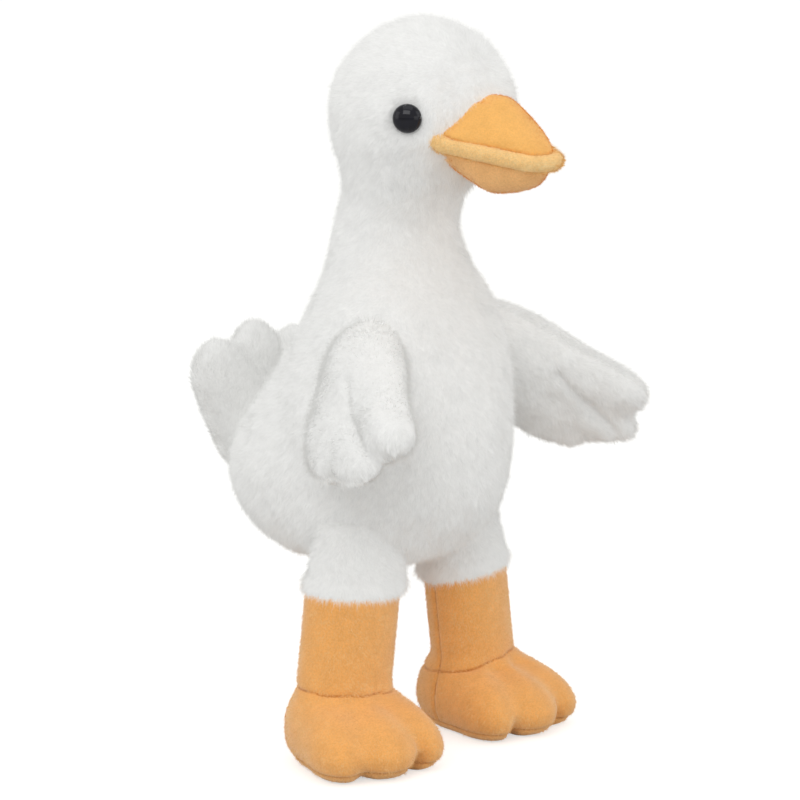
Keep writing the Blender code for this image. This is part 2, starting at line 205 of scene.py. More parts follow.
FILLING_FRAMES = 20
FILLING_PRESSURE = 4.0
LEAST_HELD = 0.02


def stuffed(piece, held, most):
    """Blows a skin up a little from inside, as its filling does, with the corners that are
    held staying put and no corner moving further than most."""
    before = corner_places(piece.data)
    seams = piece.vertex_groups.new(name="seams")
    for index in np.flatnonzero(held > LEAST_HELD):
        seams.add([int(index)], float(held[index]), "REPLACE")
    cloth = piece.modifiers.new("filling", "CLOTH")
    cloth.settings.quality = 5
    cloth.settings.mass = 0.3
    cloth.settings.vertex_group_mass = "seams"
    cloth.settings.use_pressure = True
    cloth.settings.uniform_pressure_force = FILLING_PRESSURE
    cloth.settings.effector_weights.gravity = 0
    cloth.collision_settings.use_collision = False
    cloth.point_cache.frame_start = 1
    cloth.point_cache.frame_end = FILLING_FRAMES
    for frame_number in range(1, FILLING_FRAMES + 1):
        scene.frame_set(frame_number)
    apply_modifiers(piece)
    piece.vertex_groups.clear()
    scene.frame_set(1)
    moves = corner_places(piece.data) - before
    length = np.maximum(np.linalg.norm(moves, axis=1, keepdims=True), 1e-9)
    place_corners(piece.data, before + moves * np.minimum(1.0, most / length))


def node_material(name, roughness, specular, sheen=0.0):
    """A new material with a Principled shader, and its node tree and shader."""
    material = bpy.data.materials.new(name)
    material.use_nodes = True
    nodes = material.node_tree
    shader = nodes.nodes["Principled BSDF"]
    shader.inputs["Roughness"].default_value = roughness
    shader.inputs["Specular IOR Level"].default_value = specular
    shader.inputs["Sheen Weight"].default_value = sheen
    shader.inputs["Sheen Roughness"].default_value = 0.5
    return material, nodes, shader


def speckle(nodes, size, detail, seed):
    """Noise on Object coordinates whose humps are about as wide as size."""
    place = nodes.nodes.new("ShaderNodeTexCoord")
    shift = nodes.nodes.new("ShaderNodeMapping")
    shift.inputs["Location"].default_value = (seed, seed * 0.7, -seed)
    noise = nodes.nodes.new("ShaderNodeTexNoise")
    noise.inputs["Scale"].default_value = 1 / size
    noise.inputs["Detail"].default_value = detail
    nodes.links.new(place.outputs["Object"], shift.inputs["Vector"])
    nodes.links.new(shift.outputs["Vector"], noise.inputs["Vector"])
    return noise.outputs["Fac"]


def ramp(nodes, factor, stops):
    """A smooth run of colours over a factor. Each stop is a place from 0 to 1 and a colour."""
    run = nodes.nodes.new("ShaderNodeValToRGB")
    run.color_ramp.interpolation = "EASE"
    while len(run.color_ramp.elements) < len(stops):
        run.color_ramp.elements.new(0.5)
    for element, (place, colour) in zip(run.color_ramp.elements, stops):
        element.position = place
        element.color = (*colour, 1)
    nodes.links.new(factor, run.inputs["Fac"])
    return run.outputs["Color"]


def shaded(colour, share):
    return tuple(channel * share for channel in colour)


def cloth_ground():
    """The knitted ground under the pile: nearly white, a little uneven."""
    material, nodes, shader = node_material("plush_ground", 1.0, 0.1)
    uneven = speckle(nodes, 0.004, 3, 1.0)
    colour = ramp(nodes, uneven, ((0.3, shaded(GROUND_WHITE, 0.93)), (0.7, GROUND_WHITE)))
    nodes.links.new(colour, shader.inputs["Base Color"])
    return material


plush_ground = cloth_ground()


def unit(rows):
    return rows / np.maximum(np.linalg.norm(rows, axis=1, keepdims=True), 1e-12)


def swell(points, size, seed, count=14):
    """A soft random swell of about -1 to 1 over points, with humps of about the given size."""
    rng = np.random.default_rng(seed)
    ways = unit(rng.normal(size=(count, 3))) * math.tau / size * rng.uniform(0.5, 1.3, (count, 1))
    return np.sin(points @ ways.T + rng.uniform(0, math.tau, count)).sum(1) / math.sqrt(count)


def eye_seat(word):
    """The middle of an eye's flat base and the way it faces, from its dome and its washer."""
    low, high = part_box("eye_washer_" + word)
    behind = (low + high) / 2
    points = [vert.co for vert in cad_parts["eye_" + word].data.vertices]
    top = max(points, key=lambda point: (point - behind).length)
    facing = (top - behind).normalized()
    return top - facing * EYE_DOME_HEIGHT, facing


EYE_SEATS = {word: eye_seat(word) for word in ("left", "right")}


def near_nodes(points, nodes, reach):
    """How near points lie to the surfaces of CAD nodes: 1 on one, fading to 0 past reach."""
    nearest = np.full(len(points), 1.0)
    for node in nodes:
        tree = surface_of(node)
        low, high = (np.array(corner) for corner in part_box(node))
        close = ((points > low - reach * 2) & (points < high + reach * 2)).all(1)
        for index in np.flatnonzero(close):
            nearest[index] = min(nearest[index], tree.find_nearest(Vector(points[index]))[3])
    return np.exp(-((nearest / reach) ** 2))


def shape_body(piece):
    """Welts of filling where parts are sewn on and round the eyes, whose shanks pull the skin
    in behind them, and soft lumps."""
    places, facing = corner_places(piece.data), corner_facing(piece.data)
    for nodes, rise, reach in SEWN_WELTS:
        places += facing * (rise * near_nodes(places, nodes, reach))[:, None]
    for base, _ in EYE_SEATS.values():
        away = np.linalg.norm(places - np.array(base), axis=1)
        welt = np.exp(-(((away - EYE_WELT_PLACE) / EYE_WELT_WIDTH) ** 2))
        places += facing * EYE_WELT * welt[:, None]
    lumps = sum(rise * swell(places, size, seed) for rise, size, seed in LUMPS)
    place_corners(piece.data, places + facing * lumps[:, None])


body_skin = sewn_skin(
    "body_skin", merged_copy("body"), BODY_WEAVE, BODY_ROUNDS, plush_ground, PILE_RISE
)
held_places = near_nodes(corner_places(body_skin.data), BODY_NEIGHBOURS, HELD_REACH)
stuffed(body_skin, held_places, BODY_SWELL)
shape_body(body_skin)
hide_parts("body")


# The pile is short soft fibre that stands on the ground cloth and is brushed down. Its
# fibres lie together in small tufts, and each fibre is one thin blade of its own.
PILE_LENGTH = 0.0036
PILE_WIDTH = 0.00017
PILE_PER_MM2 = 7.0
PILE_STAND = 0.60
PILE_LIFT = 0.62
LAID_SHARE = 0.9
COVER_DEPTH = 0.002
TUFT_SIZE = 0.0016
TUFT_BLUR = 0.12
TUFT_WAYS = 4096
TUFT_STEPS = (73856093, 19349663, 83492791)
TUFT_RISE = 0.13
OWN_RISE = 0.12
TUFT_SWAY = 0.30
WAVE_SWAY = 0.35
WAVE_SIZE = 0.014
OWN_SWAY = 0.25
TUFT_SHADE = 0.14
OWN_SHADE = 1.30
STRAY_SHARE = 0.17
STRAY_RISE = 0.7
STRAY_LENGTH = 1.35
SHORT_SHARE = 0.55
LENGTH_WAVE = 0.12
LENGTH_WAVE_SIZE = 0.006
WIDTH_RANGE = (0.75, 1.25)
OWN_ROLL = 0.45
RIM_ROLL = 1.2
RIM_SHADE_LOSS = 0.7
HIDDEN_LENGTH_LOSS = 0.6
MIDDLE_TONE = 0.5
TONE_WAVE = 0.07
TONE_WAVE_SIZE = 0.008
OWN_TONE = 0.14
TUFT_TONE = 0.08
LEAST_FACING = 0.02
UV_WIDTH = (-0.003, 0, 0.003)


def tuft_way(points, size, seed):
    """A random way for each small tuft of fibres that a point falls in."""
    rng = np.random.default_rng(seed)
    jitter = rng.normal(scale=size * TUFT_BLUR, size=points.shape)
    cell = np.floor((points + jitter) / size + 1000).astype(np.int64)
    index = (cell * np.array(TUFT_STEPS)).sum(1) % TUFT_WAYS
    return rng.normal(size=(TUFT_WAYS, 3))[index]


def skin_arrays(skin):
    """The skin's triangles as corner places and corner normals."""
    mesh = skin.data
    mesh.calc_loop_triangles()
    corners = np.empty(len(mesh.loop_triangles) * 3, np.int32)
    mesh.loop_triangles.foreach_get("vertices", corners)
    corners = corners.reshape(-1, 3)
    return corner_places(mesh)[corners], corner_facing(mesh)[corners]


def covered_by(points, nodes, depth):
    """Which points lie inside one of these CAD nodes, more than depth under its surface."""
    found = np.zeros(len(points), bool)
    for node in nodes:
        low, high = (np.array(corner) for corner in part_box(node))
        tree = surface_of(node)
        for index in np.flatnonzero(((points > low) & (points < high)).all(1) & ~found):
            point = Vector(points[index])
            place, facing, _, away = tree.find_nearest(point)
            found[index] = away > depth and (point - place).dot(facing) < 0
    return found


def blades(name, roots, facing, soft, way, length, width, roll, tone, material):
    """A mesh of single blades, each a thin triangle from its root to its tip. Its UV map
    holds the blade's tone and how far along it is, and soft is how it is shaded."""
    count = len(roots)
    side = unit(np.cross(facing, way))
    other = np.cross(way, side)
    across = (side * np.cos(roll)[:, None] + other * np.sin(roll)[:, None]) * width[:, None] / 2
    tip = roots + way * length[:, None]
    places = np.stack([roots - across, tip, roots + across], 1).reshape(-1, 3)
    mesh = bpy.data.meshes.new(name)
    mesh.vertices.add(count * 3)
    mesh.vertices.foreach_set("co", places.astype(np.float32).ravel())
    mesh.loops.add(count * 3)
    mesh.loops.foreach_set("vertex_index", np.arange(count * 3, dtype=np.int32))
    mesh.polygons.add(count)
    mesh.polygons.foreach_set("loop_start", np.arange(0, count * 3, 3, dtype=np.int32))
    mesh.update(calc_edges=True)
    tones = np.repeat(tone, 3) + np.tile(UV_WIDTH, count)
    uv = np.stack([tones, np.tile([0, 1, 0], count)], 1)
    mesh.uv_layers.new(name="OFBake").uv.foreach_set("vector", uv.astype(np.float32).ravel())
    mesh.shade_smooth()
    own = unit(np.cross(way, across))
    shade = unit(own * OWN_SHADE + soft)
    shade = unit(shade + own * np.clip(LEAST_FACING - (shade * own).sum(1), 0, 1)[:, None])
    mesh.normals_split_custom_set_from_vertices(np.repeat(shade, 3, axis=0))
    mesh.materials.append(material)
    piece = bpy.data.objects.new(name, mesh)
    scene.collection.objects.link(piece)
    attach(piece, "root")
    piece.visible_shadow = False
    piece.visible_diffuse = False
    return piece


def grow_pile(name, skin, finish, brushed, seed, among=None, under=(), keep=None,
              length=PILE_LENGTH, width=PILE_WIDTH, density=PILE_PER_MM2, stand=PILE_STAND,
              short=SHORT_SHARE, rim_of=None):
    """Grows pile on a skin. Brushed gives the way it is brushed at each root, among picks the
    skin's triangles by their middles, and under names the nodes that cover some of the skin.
    Rim_of gives how near each root is to the rim of a panel, where blades turn every way, and
    how far it lies on the hidden side of that rim, where they are kept short."""
    places, normals = skin_arrays(skin)
    if among is not None:
        chosen = among(places.mean(1))
        places, normals = places[chosen], normals[chosen]
    edge, other = places[:, 1] - places[:, 0], places[:, 2] - places[:, 0]
    areas = np.linalg.norm(np.cross(edge, other), axis=1) / 2
    rng = np.random.default_rng(seed)
    count = int(areas.sum() * 1e6 * density)
    pick = np.searchsorted(np.cumsum(areas), rng.random(count) * areas.sum())
    pick = pick.clip(0, len(areas) - 1)
    a, b = np.sqrt(rng.random((count, 1))), rng.random((count, 1))
    shares = np.concatenate([1 - a, a * (1 - b), a * b], 1)[:, :, None]
    roots = (places[pick] * shares).sum(1)
    facing = unit((normals[pick] * shares).sum(1))
    kept = ~covered_by(roots, under, COVER_DEPTH)
    if keep is not None:
        kept &= keep(roots)
    roots, facing = roots[kept], facing[kept]
    count = len(roots)

    # Each fibre leans the way it is brushed, swayed by its tuft, by a wide wave and by chance.
    way = brushed(roots)
    way = unit(way - facing * (way * facing).sum(1, keepdims=True) * LAID_SHARE)
    tuft = tuft_way(roots, TUFT_SIZE, seed + 1)
    rise = stand + TUFT_RISE * tuft[:, :1] + rng.normal(scale=OWN_RISE, size=(count, 1))
    stray = rng.random(count) < STRAY_SHARE
    rise = rise + STRAY_RISE * stray[:, None]
    aside = np.cross(facing, way)
    sway = TUFT_SWAY * tuft[:, 1:2] + WAVE_SWAY * swell(roots, WAVE_SIZE, seed + 2)[:, None]
    sway = sway + rng.normal(scale=OWN_SWAY, size=(count, 1))
    way = unit(facing * rise + way + aside * sway)

    # Strays stand up and are longer. No other tip rises higher than PILE_LIFT of its length.
    size = length * (short + (1 - short) * rng.random(count) ** 0.7)
    size = size * (1 + LENGTH_WAVE * swell(roots, LENGTH_WAVE_SIZE, seed + 3))
    lift = np.maximum((way * facing).sum(1), 0.1)
    size = size * np.where(stray, STRAY_LENGTH, np.minimum(PILE_LIFT / lift, 1))
    wide = width * rng.uniform(*WIDTH_RANGE, count)
    roll = rng.uniform(-OWN_ROLL, OWN_ROLL, count)
    soft = facing + tuft * TUFT_SHADE
    if rim_of is not None:
        rim, hidden = rim_of(roots, facing)
        roll = roll + rim * rng.choice((-RIM_ROLL, RIM_ROLL), count)
        soft = soft * (1 - RIM_SHADE_LOSS * rim)[:, None]
        size = size * (1 - HIDDEN_LENGTH_LOSS * hidden)

    # The tone picks the fibre's colour, from dark at 0 to light at 1.
    tone = MIDDLE_TONE + TONE_WAVE * swell(roots, TONE_WAVE_SIZE, seed + 4)
    tone = tone + rng.normal(scale=OWN_TONE, size=count)
    tone = (tone + TUFT_TONE * tuft[:, 2]).clip(0.02, 0.98)
    piece = blades(name, roots, facing, soft, way, size, wide, roll, tone, finish)
    return piece


def pile_fibre(name, dark, light, root_shade):
    """Fibres with a tone of their own each, from dark to light, and painted shade at the root:
    darker there, as the shade deep in the pile would make them.
    """
    material, nodes, shader = node_material(name, 0.85, 0.15, 0.0)
    place = nodes.nodes.new("ShaderNodeUVMap")
    place.uv_map = "OFBake"
    split = nodes.nodes.new("ShaderNodeSeparateXYZ")
    nodes.links.new(place.outputs["UV"], split.inputs["Vector"])
    own = ramp(nodes, split.outputs["X"], ((0.05, dark), (0.95, light)))
    # The root is painted darker than the tip: painted shade, since the pile casts no shadows on
    # itself.
    root = (root_shade, root_shade, root_shade)
    along = ramp(nodes, split.outputs["Y"], ((0.0, root), (0.7, (1.0, 1.0, 1.0))))
    mix = nodes.nodes.new("ShaderNodeMix")
    mix.data_type = "RGBA"
    mix.blend_type = "MULTIPLY"
    mix.inputs["Factor"].default_value = 1.0
    nodes.links.new(own, mix.inputs["A"])
    nodes.links.new(along, mix.inputs["B"])
    nodes.links.new(mix.outputs["Result"], shader.inputs["Base Color"])
    return material


# The white pile's fibres are painted darker at their roots, to 0.90 of their colour: painted
# shade.
pile_white = pile_fibre("plush_pile", shaded(WHITE, 0.93), shaded(WHITE, 1.04), 0.90)
BODY_BRUSHED = np.array([0.0, 0.30, -1.0])
HEAD_BRUSHED = np.array([0.0, 0.1, -0.5])
HEAD_MIDDLE = np.array([0.0, -0.0167, 0.271])
HEAD_PARTING = np.array([0.0, -0.05, 0.02])
PARTING_SHARE = 0.8
HEAD_FROM = 0.245
HEAD_BLEND = 0.03
EYE_RADIUS = 0.0060
EYE_LAP = 0.0003
EYE_BRUSHING = 0.009
EYE_BRUSHING_SHARE = 1.1
EYE_POCKET_RADIUS = 0.0075
EYE_POCKET_FROM = 0.0045
EYE_POCKET_DEPTH = 0.0140


def brushed_down(points):
    """Down the body and a little back, on the head back from the bill, and away from the eyes."""
    on_head = np.clip((points[:, 2] - HEAD_FROM) / HEAD_BLEND, 0, 1)[:, None]
    back = points - HEAD_MIDDLE - HEAD_PARTING
    way = BODY_BRUSHED * (1 - on_head) + on_head * (unit(back) * PARTING_SHARE + HEAD_BRUSHED)
    for base, _ in EYE_SEATS.values():
        away = points - np.array(base)
        near = np.exp(-((np.linalg.norm(away, axis=1, keepdims=True) / EYE_BRUSHING) ** 2))
        way = way + unit(away) * near * EYE_BRUSHING_SHARE
    return way


def clear_of_eyes(points):
    """Roots that aren't under an eye or in the pocket behind it."""
    clear = np.ones(len(points), bool)
    for base, facing in EYE_SEATS.values():
        away = points - np.array(base)
        depth = away @ np.array(facing)
        aside = np.linalg.norm(away - depth[:, None] * np.array(facing), axis=1)
        pocket = (depth < -EYE_POCKET_FROM) & (depth > -EYE_POCKET_DEPTH)
        clear &= ~(pocket & (aside < EYE_POCKET_RADIUS))
        clear &= (aside > EYE_RADIUS - EYE_LAP) | (depth < -EYE_POCKET_DEPTH)
    return clear


PILE_BANDS = (("belly", 0.0, 0.118), ("chest", 0.118, 0.180), ("neck_and_head", 0.180, 0.4))
for index, (word, low, high) in enumerate(PILE_BANDS):
    grow_pile(
        "pile_" + word, body_skin, pile_white, brushed_down, 10 * index + 3,
        among=lambda middles, low=low, high=high: (middles[:, 2] >= low) & (middles[:, 2] < high),
        under=BODY_NEIGHBOURS, keep=clear_of_eyes,
    )


# The wings are stuffed panels of the white plush on both sides, sewn into slits in the
# body. A stitched line through both sides parts the feather tips: straight on the left
# wing, bent on the right one.
WING_ROOT = Vector((0.0340, -0.00926, 0.1770))
WING_SPAN_WAY = Vector((0.600, -0.600, -0.530))
WING_UP_WAY = Vector((-0.148, -0.733, 0.664))
WING_STITCHES = {
    "left": (((0.0446, 0.0112), (0.0795, -0.0030), 1.0),),
    "right": (
        ((0.0380, 0.0050), (0.0541, -0.0006), 0.45),
        ((0.0541, -0.0006), (0.0738, 0.0032), 1.0),
    ),
}
FILLED_NOTCH = ((0.0520, -0.0103), (0.0680, -0.0215))
NOTCH_WIDTH = 0.0055
NOTCH_FILLING = 0.0016
NOTCH_OUT = 0.0045
THIN_EDGE = 0.003
LOWER_TIP = (0.0840, -0.0010)
LOWER_TIP_REACH = 0.0078
LOWER_TIP_OUT = {"left": 0.0045, "right": 0.0}
DRAWN_FROM = 0.030
DRAWN_UP = {"left": (0.0, 0.0), "right": (0.065, 0.13)}
DRAWN_LOW = 0.020
THUMB = (0.0720, 0.0140)
THUMB_REACH = 0.0105
THUMB_SWELL = {"left": 0.0, "right": 0.0030}
SEWN_DOWN = {"left": 0.0, "right": 1.0}
LOW_EDGE_FADE = 0.015
LOW_EDGE_FROM = 0.018
LOW_EDGE_REACH = 0.030
LOW_EDGE_SINK = 0.010
WING_PLUMP = 0.0035
WING_SWELL = 0.0022
SHOULDER_SWELL = {"left": 0.30, "right": 0.60}
SHOULDER_REACH = 0.055
PANEL_FILL_OUT = 0.0013
ROOT_SINK = 0.0090
ROOT_START = -0.014
ROOT_REACH = 0.034
ROOT_HELD = 0.004
WING_WEAVE = 0.0018
WING_ROUNDS = 7
BRUSHED_DROP = 0.2
HIDDEN_SIDE = {"left": 0, "right": 1}
RIM_HALF = 0.0025
RIM_FALL = 1.6
RIM_TURNED = 1.25
RIM_TURNED_FALL = 1.7
UPPER_EDGE = 0.010
HIDDEN_HALF = 0.0035
HIDDEN_FALL = 2.0
HIDDEN_TURNED = 0.3
STITCH_WIDTH = 0.0019
STITCH_DEPTH = 0.0036
STITCH_THIN = 0.004
BARE_STITCH = 0.80
SEAM_REACH = 0.0008
TUCK = 0.006
body_surface = surface_of("body")


def tucked_copy(node):
    """A copy of a part that is sewn to the body, with its sewn end drawn into the body."""
    bm = merged_copy(node)
    for vert in bm.verts:
        _, facing, _, away = body_surface.find_nearest(vert.co)
        if away < SEAM_REACH:
            vert.co -= facing * TUCK
    return bm


def panel_frame(origin, across, up):
    """A panel's own frame from its origin, its X way and roughly its Y way."""
    x = across.normalized()
    z = x.cross(up).normalized()
    return Matrix.Translation(origin) @ Matrix((x, z.cross(x), z)).transposed().to_4x4()


def in_frame(places, own_frame):
    to_own = np.array(own_frame.inverted())
    return places @ to_own[:3, :3].T + to_own[:3, 3]


def rim_shares(roots, facing, own_frame, hidden_side):
    """How near roots lie to a panel's rim, and how near to it on its hidden side. They are on
    the rim where they are close to the panel's middle plane and face out sideways. A panel
    with a hidden side has its upper edge left out."""
    own = in_frame(roots, own_frame)
    square = facing @ np.array(own_frame.to_3x3().col[2])
    near = np.clip(RIM_FALL - np.abs(own[:, 2]) / RIM_HALF, 0, 1)
    rim = np.clip(RIM_TURNED - RIM_TURNED_FALL * np.abs(square), 0, 1) * near
    rim = rim * (1 - hidden_side * np.clip(own[:, 1] / UPPER_EDGE + 1, 0, 1))
    near = np.clip(HIDDEN_FALL - np.abs(own[:, 2]) / HIDDEN_HALF, 0, 1)
    return rim, np.clip(hidden_side * square / HIDDEN_TURNED, 0, 1) * near


def near_line(own, start, end, width):
    """How near points in a panel's own frame lie to a line across it, from 0 to 1."""
    start, way = np.array(start), np.array(end) - np.array(start)
    share = ((own[:, :2] - start) @ way / (way @ way)).clip(0, 1)
    away = np.linalg.norm(own[:, :2] - start - share[:, None] * way, axis=1)
    return np.exp(-((away / width) ** 2))


def near_spot(own, spot, reach):
    """How near points in a panel's own frame lie to a spot on it, from 0 to 1."""
    return np.exp(-((np.linalg.norm(own[:, :2] - np.array(spot), axis=1) / reach) ** 2))


def held_by_stitches(own, stitches):
    """How firmly stitched lines hold the points of a panel, in its own frame, from 0 to 1."""
    held = np.zeros(len(own))
    for start, end, firm in stitches:
        held = np.maximum(held, firm * near_line(own, start, end, STITCH_WIDTH))
    return held


def stuffed_panel(piece, own_frame, stitches, most):
    """Stuffs a panel between its stitched lines, and pulls those in to a crease."""
    places = corner_places(piece.data)
    held = held_by_stitches(in_frame(places, own_frame), stitches)
    stuffed(piece, np.maximum(held, near_nodes(places, ("body",), ROOT_HELD)), most)
    places = corner_places(piece.data)
    middle_way = np.array(own_frame.to_3x3().col[2])
    height = in_frame(places, own_frame)[:, 2]
    pull = STITCH_DEPTH * held * np.clip(np.abs(height) / STITCH_THIN, 0, 1)
    place_corners(piece.data, places - middle_way * (pull * np.sign(height))[:, None])


def clipped(share):
    return min(max(share, 0.0), 1.0)


def fattened_wing(word, own_frame):
    """A copy of a wing, thicker towards the shoulder, where it holds the most filling, and
    drawn into the body at its root, and on the right wing along its lower edge too."""
    bm = tucked_copy(f"wing_{word}")
    bmesh.ops.subdivide_edges(bm, edges=bm.edges, cuts=1, use_grid_fill=True)
    back = own_frame.inverted()
    for vert in bm.verts:
        place = back @ vert.co
        near = clipped(1 - place.x / SHOULDER_REACH)
        root = clipped(1 - (place.x - ROOT_START) / ROOT_REACH)
        place.z *= 1 + SHOULDER_SWELL[word] * math.sin(near * math.pi / 2)
        _, facing, _, away = body_surface.find_nearest(vert.co)
        low_edge = clipped(-place.y / LOW_EDGE_FADE)
        low_edge *= clipped(1 - (place.x - LOW_EDGE_FROM) / LOW_EDGE_REACH)
        sink = ROOT_SINK * root + SEWN_DOWN[word] * low_edge * min(away, LOW_EDGE_SINK)
        vert.co = own_frame @ place - facing * sink
    return bm


def shape_tips(piece, own_frame, word):
    """Fills out the notch between the two lower feather tips, which touch along it, draws the
    tip beside it out, draws the whole wing up by its share, and fills its thumb out."""
    own = in_frame(corner_places(piece.data), own_frame)
    start, end = (np.array(point) for point in FILLED_NOTCH)
    way = end - start
    near = near_line(own, start, end, NOTCH_WIDTH)
    at_rim = near_spot(own, end, NOTCH_WIDTH)
    filled = np.clip(np.abs(own[:, 2]) / THIN_EDGE, 0, 1)
    own[:, 2] += np.sign(own[:, 2]) * NOTCH_FILLING * near * filled
    own[:, :2] += way / np.linalg.norm(way) * (NOTCH_OUT * at_rim)[:, None]
    own[:, 0] += LOWER_TIP_OUT[word] * near_spot(own, LOWER_TIP, LOWER_TIP_REACH)
    whole, low_share = DRAWN_UP[word]
    drawn = whole + low_share * np.clip(-own[:, 1] / DRAWN_LOW, 0, 1)
    own[:, 0] -= drawn * np.maximum(own[:, 0] - DRAWN_FROM, 0)
    at_thumb = near_spot(own, THUMB, THUMB_REACH)
    filled = np.clip(np.abs(own[:, 2]) / THIN_EDGE, 0, 1)
    own[:, 2] += np.sign(own[:, 2]) * THUMB_SWELL[word] * at_thumb * filled
    turn = np.array(own_frame)
    place_corners(piece.data, own @ turn[:3, :3].T + turn[:3, 3])


for side, word in ((1, "left"), (-1, "right")):
    flip = Matrix.Scale(side, 4, (1, 0, 0))
    own_frame = flip @ panel_frame(WING_ROOT, WING_SPAN_WAY, WING_UP_WAY)
    wing = sewn_skin(
        f"wing_{word}_skin", fattened_wing(word, own_frame), WING_WEAVE, WING_ROUNDS,
        plush_ground, -PANEL_FILL_OUT, WING_PLUMP,
    )
    shape_tips(wing, own_frame, word)
    stuffed_panel(wing, own_frame, WING_STITCHES[word], WING_SWELL)
    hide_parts(f"wing_{word}")
    span = np.array([side * WING_SPAN_WAY.x, WING_SPAN_WAY.y, WING_SPAN_WAY.z - BRUSHED_DROP])
    grow_pile(
        f"pile_wing_{word}", wing, pile_white,
        lambda points, span=span: np.tile(span, (len(points), 1)), 70 + side, under=("body",),
        keep=lambda roots, own_frame=own_frame, word=word: held_by_stitches(
            in_frame(roots, own_frame), WING_STITCHES[word]
        ) < BARE_STITCH,
        rim_of=lambda roots, facing, own_frame=own_frame, word=word: rim_shares(
            roots, facing, own_frame, HIDDEN_SIDE[word]
        ),
    )


# The tail is a fan of three stuffed feathers, sewn into the back and brushed upwards.
TAIL_ROOT = Vector((0, 0.06874, 0.1150))
TAIL_LEAN = math.radians(11)
TAIL_STITCHES = (
    ((0.0033, 0.0284), (0.0125, 0.0465), 0.6),
    ((-0.0033, 0.0284), (-0.0125, 0.0465), 0.6),
)
tail = sewn_skin(
    "tail_skin", tucked_copy("tail"), WING_WEAVE, WING_ROUNDS, plush_ground, -PANEL_FILL_OUT,
    WING_PLUMP,
)
tail_up = Vector((0, math.sin(TAIL_LEAN), math.cos(TAIL_LEAN)))
tail_frame = panel_frame(TAIL_ROOT, Vector((1, 0, 0)), tail_up)
stuffed_panel(tail, tail_frame, TAIL_STITCHES, WING_SWELL)
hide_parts("tail")
grow_pile(
    "pile_tail", tail, pile_white,
    lambda points: np.tile(np.array(tail_up), (len(points), 1)), 90, under=("body",),
    rim_of=lambda roots, facing: rim_shares(roots, facing, tail_frame, 0),
)


# The thigh cuffs are tubes of the white plush. Each hem hangs open over the top of the
# orange shin, and its longer fibres fall over the edge.
CUFF_INSET = PILE_RISE * 0.8
CUFF_ROUNDS = 3
HEM_FIBRE = 0.0052
HEM_REACH = 0.008
HEM_RISE = 0.0008
HEM_TILT = {"left": (-0.0028, 0.0034), "right": (0.0045, 0.0020)}
HEM_TILT_REACH = 0.014
CUFF_RADIUS = 0.021
FRINGE_PER_MM2 = 12.0
FRINGE_WIDTH = 0.00014
FRINGE_STAND = 0.40
FRINGE_SHORT = 0.30


def hanging(points):
    return np.tile(np.array([0.0, 0.0, -1.0]), (len(points), 1))


def hem_height(points, word):
    """The height of a cuff's hem at the given points: it hangs a little aslant."""
    low, high = (np.array(corner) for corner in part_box(f"thigh_cuff_{word}"))
    across = np.array([math.cos(VIEW_TURN), math.sin(VIEW_TURN)])
    aside = (points[:, :2] - (low + high)[:2] / 2) @ across
    share = np.clip(aside / CUFF_RADIUS / 2 + 0.5, 0, 1)
    left_end, right_end = HEM_TILT[word]
    return low[2] + left_end * (1 - share) + right_end * share


for side, word in ((1, "left"), (-1, "right")):
    cuff = sewn_skin(
        f"thigh_cuff_{word}_skin", tucked_copy(f"thigh_cuff_{word}"), WING_WEAVE, CUFF_ROUNDS,
        plush_ground, CUFF_INSET,
    )
    places = corner_places(cuff.data)
    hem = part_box(f"thigh_cuff_{word}")[0].z
    near_hem = np.clip(1 - (places[:, 2] - hem) / HEM_TILT_REACH, 0, 1)
    places[:, 2] += (hem_height(places, word) - hem) * near_hem
    place_corners(cuff.data, places)
    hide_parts(f"thigh_cuff_{word}")
    grow_pile(
        f"pile_thigh_cuff_{word}", cuff, pile_white, hanging, 100 + side,
        under=("body",),
    )
    grow_pile(
        f"fringe_{word}", cuff, pile_white, hanging, 110 + side,
        among=lambda middles, word=word: middles[:, 2] < hem_height(middles, word) + HEM_REACH,
        keep=lambda roots, word=word: roots[:, 2] > hem_height(roots, word) + HEM_RISE,
        length=HEM_FIBRE, width=FRINGE_WIDTH, density=FRINGE_PER_MM2, stand=FRINGE_STAND,
        short=FRINGE_SHORT,
    )


# The eyes are glossy black moulded domes on a shank. Behind the skin a washer of hard
# white plastic is pressed on to each shank.
EYE_BLACK = (0.004, 0.004, 0.008)
WASHER_WHITE = (0.72, 0.72, 0.70)
EYE_DOME_SHOWN = 0.0038
EYE_BASE_LOW = -0.0004
EYE_ROUND = 64
EYE_STEPS = 18


def moulded(name, colour, roughness, specular, light):
    """Moulded plastic with a faint cloudiness in its colour."""
    material, nodes, shader = node_material(name, roughness, specular)
    cloud = speckle(nodes, 0.003, 2, 4.0)
    tint = ramp(nodes, cloud, ((0.35, colour), (0.65, shaded(colour, light))))
    nodes.links.new(tint, shader.inputs["Base Color"])
    return material


